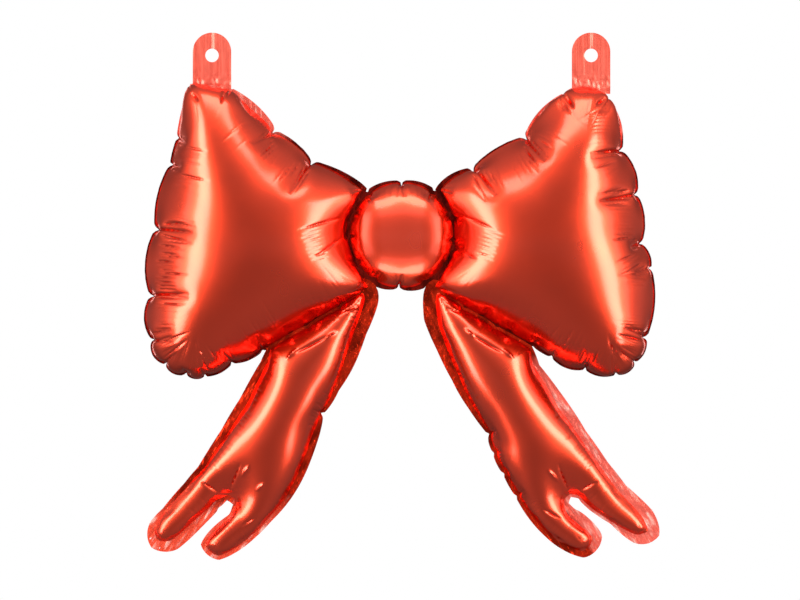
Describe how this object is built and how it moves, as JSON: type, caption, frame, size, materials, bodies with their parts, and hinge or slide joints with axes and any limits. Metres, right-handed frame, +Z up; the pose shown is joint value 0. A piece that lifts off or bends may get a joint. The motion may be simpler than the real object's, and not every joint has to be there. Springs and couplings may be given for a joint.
{
  "type": "foil bow balloon",
  "caption": "Air-filled metallised foil balloon in the shape of a gift bow: two loops, round knot, forked tails and flat hang tabs with holes.",
  "frame": {"origin": "midway between the centres of the two hang holes, in the film plane", "axes": "+X to the viewer's right, +Y to the rear through the thickness, +Z up towards the hang tabs' tops"},
  "size_m": [0.332, 0.0634, 0.3413],
  "materials": {
    "red_foil": "metallised film, satin",
    "sealed_edge": "metallised film, heat-sealed and crimped",
    "tab_film": "metallised film, two plies, streaked",
    "valve_film": "plain polyethylene film"
  },
  "bodies": {
    "knot": {"knot_front_foil": "red_foil", "knot_rear_foil": "red_foil", "knot_seam": "sealed_edge"},
    "left_loop": {"left_loop_front_foil": "red_foil", "left_loop_rear_foil": "red_foil", "left_loop_seam": "sealed_edge"},
    "left_tail": {"left_tail_front_foil": "red_foil", "left_tail_rear_foil": "red_foil", "left_tail_seam": "sealed_edge", "valve_front_film": "valve_film", "valve_rear_film": "valve_film"},
    "left_tab": {"left_hang_tab": "tab_film"},
    "right_loop": {"right_loop_front_foil": "red_foil", "right_loop_rear_foil": "red_foil", "right_loop_seam": "sealed_edge"},
    "right_tail": {"right_tail_front_foil": "red_foil", "right_tail_rear_foil": "red_foil", "right_tail_seam": "sealed_edge"},
    "right_tab": {"right_hang_tab": "tab_film"}
  },
  "joints": [
    {"name": "left_loop_fold", "type": "hinge", "parent": "knot", "child": "left_loop", "pos_m": [-0.03, 0, -0.1165], "axis": [0, 0, -1], "range_deg": [-25, 25], "stiffness_Nm_per_rad": 0.02},
    {"name": "left_tail_swing", "type": "hinge", "parent": "left_loop", "child": "left_tail", "pos_m": [-0.05495, 0, -0.17115], "axis": [-0.868, 0, -0.4965], "range_deg": [-60, 60], "stiffness_Nm_per_rad": 0.008},
    {"name": "left_tab_bend", "type": "hinge", "parent": "left_loop", "child": "left_tab", "pos_m": [-0.1232, 0, -0.0158], "axis": [1, 0, 0], "range_deg": [-90, 90], "stiffness_Nm_per_rad": 0.0006},
    {"name": "right_loop_fold", "type": "hinge", "parent": "knot", "child": "right_loop", "pos_m": [0.03, 0, -0.1165], "axis": [0, 0, 1], "range_deg": [-25, 25], "stiffness_Nm_per_rad": 0.02},
    {"name": "right_tail_swing", "type": "hinge", "parent": "right_loop", "child": "right_tail", "pos_m": [0.05495, 0, -0.17115], "axis": [-0.868, 0, 0.4965], "range_deg": [-60, 60], "stiffness_Nm_per_rad": 0.008},
    {"name": "right_tab_bend", "type": "hinge", "parent": "right_loop", "child": "right_tab", "pos_m": [0.1232, 0, -0.0158], "axis": [1, 0, 0], "range_deg": [-90, 90], "stiffness_Nm_per_rad": 0.0006}
  ]
}
